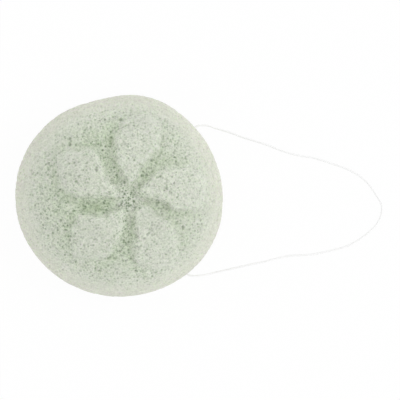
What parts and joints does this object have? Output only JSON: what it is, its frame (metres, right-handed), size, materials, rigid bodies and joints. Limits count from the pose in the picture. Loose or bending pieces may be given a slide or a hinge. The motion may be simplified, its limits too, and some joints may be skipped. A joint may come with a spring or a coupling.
{
  "type": "konjac sponge",
  "caption": "Round domed konjac face sponge with a raised flower on its face, on a thin string that is threaded through its edge as a hanging loop.",
  "frame": {"origin": "middle of the flat back that the puff rests on", "axes": "+Z out of the flowered face, +X from the puff towards the string's loop, +Y across the loop"},
  "size_m": [0.1437, 0.0776, 0.0319],
  "materials": {
    "foam": "matte",
    "string": "matte"
  },
  "bodies": {
    "sponge": {"sponge_body": "foam"},
    "string": {"string_loop": "string", "string_core": "string", "string_knot": "string"}
  },
  "joints": [
    {"name": "loop_swing", "type": "hinge", "parent": "sponge", "child": "string", "pos_m": [0.02779, -0.00197, 0.005], "axis": [-0.0558, -0.9984, 0], "range_deg": [0, 90]}
  ]
}
